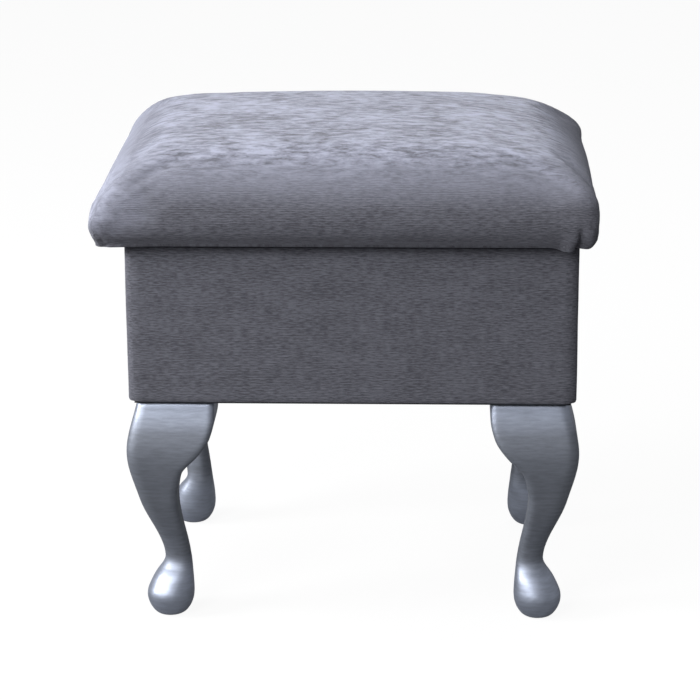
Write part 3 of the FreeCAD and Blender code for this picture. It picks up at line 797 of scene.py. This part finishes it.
    def weave(self, rows, size):
        inset_run, rise_run, length_run = self.run(size)
        inset = self.half - np.abs(rows[:, :2])
        height = rows[:, 2] - self.low
        crown = size.crown * np.prod(np.clip(1 - (rows[:, :2] / self.half) ** 2, 0, 1), axis=1)
        level = height - np.where(height > size.tuck_height, crown, 0)
        by_height = np.interp(level, rise_run, length_run)
        upper = slice(self.PROFILE_STEPS - 1, None)
        weave = np.zeros_like(rows)
        for axis in (0, 1):
            across = inset[:, axis]
            by_inset = np.interp(across, inset_run[upper], length_run[upper])
            near = across <= inset[:, 1 - axis]
            low_side = near & (across < self.SIDE_SHARE * size.roll_width)
            length = np.where(low_side, by_height, by_inset)
            under = near & (height < 1.5 * size.slack + 1 * MM)
            length = np.where(under, length_run[0] + np.maximum(across - size.tuck_width, 0), length)
            flat = np.maximum(across - size.roll_width, 0)
            middle = self.half[axis] - size.roll_width
            weave[:, axis] = np.sign(rows[:, axis]) * (middle + length - flat)
        weave[:, 2] = np.clip(height / (size.tuck_height + size.roll_rise), 0, 1)
        return weave

    def fill(self, cushion, size):
        """Fills the pad as cloth under pressure, its underside held, and limits how far a point moves."""
        start = points(cushion)
        held = cushion.vertex_groups.new(name="held")
        under = np.nonzero(start[:, 2] < self.low + size.slack + 1 * MM)[0]
        held.add(under.tolist(), 1.0, "REPLACE")
        cloth = cushion.modifiers.new("Cloth", "CLOTH")
        settings = cloth.settings
        settings.vertex_group_mass = held.name
        settings.use_pressure = True
        settings.uniform_pressure_force = size.pressure
        settings.effector_weights.gravity = 0
        settings.tension_stiffness = 15
        settings.compression_stiffness = 15
        settings.shear_stiffness = 5
        settings.bending_stiffness = 2
        cloth.collision_settings.use_collision = False
        cloth.point_cache.frame_start = 1
        cloth.point_cache.frame_end = self.FILL_FRAMES
        scene = bpy.context.scene
        for step in range(1, self.FILL_FRAMES + 1):
            scene.frame_set(step)
        filled = cushion.evaluated_get(bpy.context.evaluated_depsgraph_get())
        mesh = filled.to_mesh()
        rows = np.zeros(len(mesh.vertices) * 3)
        mesh.vertices.foreach_get("co", rows)
        filled.to_mesh_clear()
        moved = rows.reshape(-1, 3) - start
        reach = np.linalg.norm(moved, axis=1, keepdims=True)
        moved *= np.minimum(1, size.swell / np.maximum(reach, 1e-9))
        cushion.modifiers.remove(cloth)
        cushion.vertex_groups.remove(held)
        filled_rows = start + moved
        filled_rows[:, :2] *= self.half / np.abs(filled_rows[:, :2]).max(axis=0)
        height = size.tuck_height + size.roll_rise + size.crown
        rise = filled_rows[:, 2] - self.low
        filled_rows[:, 2] = self.low + rise * height / rise.max()
        place_points(cushion, filled_rows)
        scene.frame_set(1)

    def soften_ridges(self, cushion, size):
        """Eases the ridges where an end of the cushion meets its front or back."""
        rows = points(cushion)
        inset = self.half - np.abs(rows[:, :2])
        apart = np.abs(inset[:, 0] - inset[:, 1])
        rolled = (rows[:, 2] > self.low + 1.2 * size.tuck_height) & (inset.min(axis=1) < size.roll_width)
        smooth_bands(cushion, apart, self.RIDGE_BANDS, self.RIDGE_ROUNDS, rolled)

    def finish_form(self, cushion, size):
        """Folds, fills, leans and slumps the padding as it was wrapped, and seats its underside."""
        rows = points(cushion)
        start = rows.copy()
        height = start[:, 2] - self.low
        inset = self.half - np.abs(start[:, :2])
        low_part = 1 - smooth_step(height, *self.LOW_PART)
        self.fold_corners(rows, start, inset, low_part, size)
        self.fill_front_left(rows, start, height, low_part, size)
        self.lean_ends(rows, start, height, size)
        self.slump_shoulders(rows, start, height, size)
        under = (height < self.UNDERSIDE_HEIGHT) & (inset.min(axis=1) > self.UNDERSIDE_INSET)
        rows[:, 2] = np.where(under, self.low, rows[:, 2])
        place_points(cushion, rows)

    def fold_corners(self, rows, start, inset, low_part, size):
        """Folds the cover at its lower corners, and lets its edge hang a little outside the box."""
        outward = np.sign(start[:, :2])
        hanging = (1 - smooth_step(inset.min(axis=1), *self.BOX_EDGE)) * low_part
        along = inset[:, 0] - inset[:, 1]
        for end, side, place, width, depth, drop in self.PLEATS:
            here = (outward[:, 0] == end) & (outward[:, 1] == side)
            fold = here * hanging * np.exp(-((along - place * MM) / (width * MM)) ** 2)
            rows[:, :2] -= outward * (depth * size.pleat_depth * fold)[:, None]
            rows[:, 2] -= drop * MM * fold
        rows[:, 2] -= size.sag * hanging * (start[:, 1] < self.SAG_BACK)

    def fill_front_left(self, rows, start, height, low_part, size):
        """Fills out the front left corner, where the cover hangs full."""
        turn = np.clip(1 - height / size.tuck_height, 0, 1)
        tuck = size.tuck_width * (1 - np.sqrt(1 - turn ** 2))
        full = fade_in((-start[:, 0], -start[:, 1]), (self.FULL_END, self.FULL_FRONT))
        rows[:, 0] -= (self.FULL_SIDEWAYS * tuck + self.FULL_HANG * low_part) * full
        rows[:, 1] -= self.FULL_FORWARD * tuck * full

    def lean_ends(self, rows, start, height, size):
        """Leans the padding towards the left, and shapes the waist of both ends."""
        x, y = start[:, 0], start[:, 1]
        rising = smooth_step(height, 0, size.tuck_height)
        swell = rising * (1 - smooth_step(height, size.tuck_height, self.LEAN_TOP))
        share = x / self.half[0]
        rows[:, 0] -= np.where(share < 0, size.lean_left * -share, size.lean_right * share) * swell
        waist = np.exp(-((height - self.WAIST_HEIGHT) / self.WAIST_SPREAD) ** 2)
        right = self.WAIST_RIGHT * smooth_step(y, *self.WAIST_RIGHT_BAND)
        left = self.WAIST_LEFT * ((y / self.half[1]) ** 2 - 1)
        at_ends = waist * smooth_step(np.abs(x), *self.WAIST_ENDS)
        rows[:, 0] += self.WAIST_BULGE * at_ends * np.where(x > 0, right, left)

    def slump_shoulders(self, rows, start, height, size):
        """Moves the back shoulders towards the left, and drops the soft right end."""
        x, y = start[:, 0], start[:, 1]
        left = fade_in((height, y, -x), self.LEFT_BANDS)
        right = fade_in((height, y, x), self.RIGHT_BANDS)
        rows[:, 0] -= self.LEFT_SHOULDER * left + self.RIGHT_SHOULDER * right
        rows[:, 2] -= size.soft_end * fade_in((x, height), self.SOFT_BANDS)


class STOOL_OT_box_cover(bpy.types.Operator):
    """Makes the chenille stretched round the box, turned in over the rim and under the base"""
    bl_idname = "stool.box_cover"
    bl_label = "Box cover"

    BLOCK_CUTS = 59
    # Waves of the slight pulls along X, Y and Z, their shifts, and the wave up the box that bends the first
    PULL_WAVES = (41, 37, 47)
    PULL_SHIFTS = (0, 1.3, 0.6)
    PULL_BEND = 60
    # Faces this near the rim or the base lie on it
    LEVEL = 0.1 * MM
    RIM_INSET = 1 * MM

    def execute(self, context):
        size = context.scene.stool_cover
        low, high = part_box("box_cover")
        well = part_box("box_lining")[1]
        self.half = half_size(low, high)
        self.middle = (low.z + high.z) / 2
        self.reach = (high.z - low.z) / 2
        cover = divided_block("box_upholstery", self.BLOCK_CUTS)
        place_points(cover, self.form(points(cover), size))
        rim = well.x - self.RIM_INSET, well.y - self.RIM_INSET
        hem = self.half - size.hem_width

        def open_middle(point):
            if point.z > high.z - self.LEVEL:
                return abs(point.x) < rim[0] and abs(point.y) < rim[1]
            return point.z < low.z + self.LEVEL and abs(point.x) < hem[0] and abs(point.y) < hem[1]

        drop_faces(cover, open_middle)
        store_weave(cover, self.weave(points(cover), size))
        apply_modifier(cover, "SOLIDIFY", thickness=size.thickness, offset=-1)
        pocket_cuts(cover)
        shade_smooth(cover, EDGE_ANGLE)
        finish_piece(cover, chenille("box_chenille", False), BASE, "chenille", "box_cover")
        return {"FINISHED"}

    def form(self, block, size):
        """Box with round edges and slight pulls in its sides."""
        a, b, c = block.T
        z = c * self.reach
        edge = np.where(c > 0, size.rim_radius, size.bottom_radius)
        over = np.clip(np.abs(z) - (self.reach - edge), 0, None)
        draw = edge - np.sqrt(np.maximum(edge ** 2 - over ** 2, 0))
        flat = rounded_layers(a, b, self.half - draw[:, None], size.corner_radius)
        waves = np.column_stack([flat, z]) * self.PULL_WAVES + self.PULL_SHIFTS
        waves[:, 0] += np.sin(z * self.PULL_BEND)
        pull = np.prod(np.sin(waves), axis=1)
        outside = np.maximum(np.abs(a), np.abs(b)) > 0.999
        flat -= np.sign(flat) * (size.ripple * (0.5 + 0.5 * pull) * outside)[:, None]
        return np.column_stack([flat, self.middle + z])

    def weave(self, rows, size):
        """Ribs run round the box from the middle of its front, and the fabric turns in at rim and base."""
        quarter = self.half[0] + self.half[1]
        side = np.abs(rows[:, :2]) / self.half
        on_end = side[:, 0] > side[:, 1]
        on_back = ~on_end & (rows[:, 1] > 0)
        from_middle = np.abs(rows[:, 0])
        along = np.where(on_end, quarter + rows[:, 1], from_middle)
        along = np.where(on_back, 2 * quarter - from_middle, along)
        rise = rows[:, 2] - self.middle
        turned = smooth_step(np.abs(rise), self.reach - size.bottom_radius, self.reach)
        inward = np.min(self.half - np.abs(rows[:, :2]), axis=1) * turned
        across = rows[:, 2] + np.where(rise > 0, inward, -inward)
        return np.column_stack([np.sign(rows[:, 0]) * along, across, np.zeros(len(rows))])


class STOOL_OT_linings(bpy.types.Operator):
    """Makes the cloth inside the box, its covered floor and the cloth under the lid"""
    bl_idname = "stool.linings"
    bl_label = "Linings"

    LINING_CUTS = 39
    LINING_THICKNESS = 0.7 * MM
    LINING_WAVE = 0.9 * MM
    FLOOR_EDGE = 1.2 * MM
    LID_CUTS = 40
    # Thickness of the lid lining's turned edge, and the shares of its size where that starts and ends
    TURNED_EDGE = 0.25 * MM
    TURNED_START = (0.9, 0.94)
    TURNED_END = (0.985, 1.0)

    def execute(self, context):
        cloth = plain_cloth("woven_lining", context.scene.stool_colours.lining, 420.0, 0.85)
        self.box_lining(cloth)
        self.floor_liner(cloth)
        self.lid_lining(cloth)
        return {"FINISHED"}

    def box_lining(self, cloth):
        low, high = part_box("box_lining")
        half = half_size(low, high)
        reach = (high.z - low.z) / 2
        lining = divided_block("well_lining", self.LINING_CUTS)
        drop_faces(lining, lambda point: abs(point.z) > 0.999)
        rows = points(lining)
        waves = np.sin(rows[:, 0] * 9 + rows[:, 2] * 2) * np.sin(rows[:, 1] * 8 + 1)
        inward = self.LINING_WAVE * (0.5 + 0.5 * waves) * (1 - rows[:, 2] ** 6)
        rows[:, :2] = rows[:, :2] * (half - 0.1 * MM) - np.sign(rows[:, :2]) * inward[:, None]
        rows[:, 2] = low.z + reach + rows[:, 2] * reach
        place_points(lining, rows)
        apply_modifier(lining, "SOLIDIFY", thickness=self.LINING_THICKNESS, offset=-1)
        shade_smooth(lining, EDGE_ANGLE)
        finish_piece(lining, cloth, BASE, "lining_cloth", "box_lining")

    def floor_liner(self, cloth):
        low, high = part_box("floor_liner")
        liner = solid_box(low, high)
        liner.name = "well_floor"
        apply_modifier(liner, "BEVEL", width=self.FLOOR_EDGE, segments=4)
        shade_smooth(liner, EDGE_ANGLE)
        finish_piece(liner, cloth, BASE, "lining_cloth", "floor_liner")

    def lid_lining(self, cloth):
        low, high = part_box("lid_lining")
        lining = flat_sheet("lid_lining_cloth", low, high, self.LID_CUTS)
        rows = points(lining)
        middle = (low + high) / 2
        half = (high - low) / 2
        share = np.max(np.abs(rows[:, :2] - [middle.x, middle.y]) / [half.x, half.y], axis=1)
        turned = smooth_step(share, *self.TURNED_START) - smooth_step(share, *self.TURNED_END)
        rows[:, 2] -= self.TURNED_EDGE * turned
        place_points(lining, rows)
        finish_piece(lining, cloth, LID, "lining_cloth", "lid_lining")


class STOOL_OT_dust_cover(bpy.types.Operator):
    """Makes the dust cloth under the box, slightly slack between its edges"""
    bl_idname = "stool.dust_cover"
    bl_label = "Dust cover"

    CUTS = 60
    # Depth of the slack, and the distances from the middle between which it fades along X and Y
    SLACK = 2.5 * MM
    FADE_X = (0.02, 0.12)
    FADE_Y = (0.01, 0.075)

    def execute(self, context):
        cloth = plain_cloth("felted_dust_cloth", context.scene.stool_colours.dust_cloth, 700.0, 0.95)
        low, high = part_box("dust_cover")
        cover = flat_sheet("dust_cloth_sheet", low, high, self.CUTS)
        rows = points(cover)
        slack_x = 1 - smooth_step(np.abs(rows[:, 0]), *self.FADE_X)
        slack_y = 1 - smooth_step(np.abs(rows[:, 1]), *self.FADE_Y)
        rows[:, 2] -= self.SLACK * slack_x * slack_y
        place_points(cover, rows)
        finish_piece(cover, cloth, BASE, "dust_cloth", "dust_cover")
        return {"FINISHED"}


class STOOL_OT_legs(bpy.types.Operator):
    """Makes the painted cabriole legs from the solid legs, sanded smooth"""
    bl_idname = "stool.legs"
    bl_label = "Legs"

    WELD = 0.01 * MM
    VOXEL = 1.8 * MM
    SANDING_ROUNDS = 8
    FOOT_ROUNDS = 36
    # Heights on the foot, and the share of rounding over between them, less and less towards the ankle
    FOOT_BANDS = ((-1, 0.042, 1.0), (0.042, 0.053, 0.85), (0.053, 0.061, 0.5), (0.061, 0.068, 0.25))

    def execute(self, context):
        paint = silver_paint()
        for corner in ("front_left", "front_right", "rear_left", "rear_right"):
            node = f"leg_{corner}"
            leg = bpy.data.objects.new(f"painted_{node}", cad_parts[node].data.copy())
            context.scene.collection.objects.link(leg)
            edit_all(leg, bpy.ops.mesh.remove_doubles, threshold=self.WELD)
            apply_modifier(leg, "REMESH", mode="VOXEL", voxel_size=self.VOXEL)
            apply_modifier(leg, "SMOOTH", factor=0.5, iterations=self.SANDING_ROUNDS)
            smooth_bands(leg, points(leg)[:, 2], self.FOOT_BANDS, self.FOOT_ROUNDS)
            rows = points(leg)
            rows[:, 2] = np.maximum(rows[:, 2], 0)
            place_points(leg, rows)
            shade_smooth(leg)
            finish_piece(leg, paint, BASE, "silver_paint", node)
        return {"FINISHED"}


class STOOL_OT_hardware(bpy.types.Operator):
    """Finishes the boards, hinges, screws, bolts and nuts"""
    bl_idname = "stool.hardware"
    bl_label = "Boards and hardware"

    BOARDS = ("front_panel", "back_panel", "left_panel", "right_panel", "base_board", "lid_board")

    def execute(self, context):
        zinc = steel("zinc_plate", (300, 300, 300), 0.34, (1.0, 0.98, 0.92))
        drawn = steel("drawn_steel", (40, 500, 500), 0.28, (1.0, 1.0, 1.0))
        board = bare_board()
        for name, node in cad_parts.items():
            if node.hide_render:
                continue
            if name in self.BOARDS:
                material = board
            elif name.startswith("hinge"):
                material = drawn
            else:
                material = zinc
            node.data.materials.clear()
            node.data.materials.append(material)
        return {"FINISHED"}


OPERATORS = (
    STOOL_OT_stage,
    STOOL_OT_cushion,
    STOOL_OT_box_cover,
    STOOL_OT_linings,
    STOOL_OT_dust_cover,
    STOOL_OT_legs,
    STOOL_OT_hardware,
)


class STOOL_PT_panel(bpy.types.Panel):
    """Lists the stool's pieces"""
    bl_idname = "STOOL_PT_panel"
    bl_label = "Storage stool"
    bl_space_type = "VIEW_3D"
    bl_region_type = "UI"
    bl_category = "Stool"

    def draw(self, context):
        for operator in OPERATORS:
            self.layout.operator(operator.bl_idname)


SETTINGS = {
    "stool_cushion": StoolCushionSettings,
    "stool_cover": StoolCoverSettings,
    "stool_colours": StoolColours,
}
CLASSES = (*SETTINGS.values(), *OPERATORS, STOOL_PT_panel)


def register():
    for kind in CLASSES:
        bpy.utils.register_class(kind)
    for name, kind in SETTINGS.items():
        setattr(bpy.types.Scene, name, bpy.props.PointerProperty(type=kind))


def unregister():
    for name in SETTINGS:
        delattr(bpy.types.Scene, name)
    for kind in reversed(CLASSES):
        bpy.utils.unregister_class(kind)


def main():
    register()
    bpy.ops.stool.stage()
    bpy.ops.stool.cushion()
    bpy.ops.stool.box_cover()
    bpy.ops.stool.linings()
    bpy.ops.stool.dust_cover()
    bpy.ops.stool.legs()
    bpy.ops.stool.hardware()


if __name__ == "__main__":
    main()
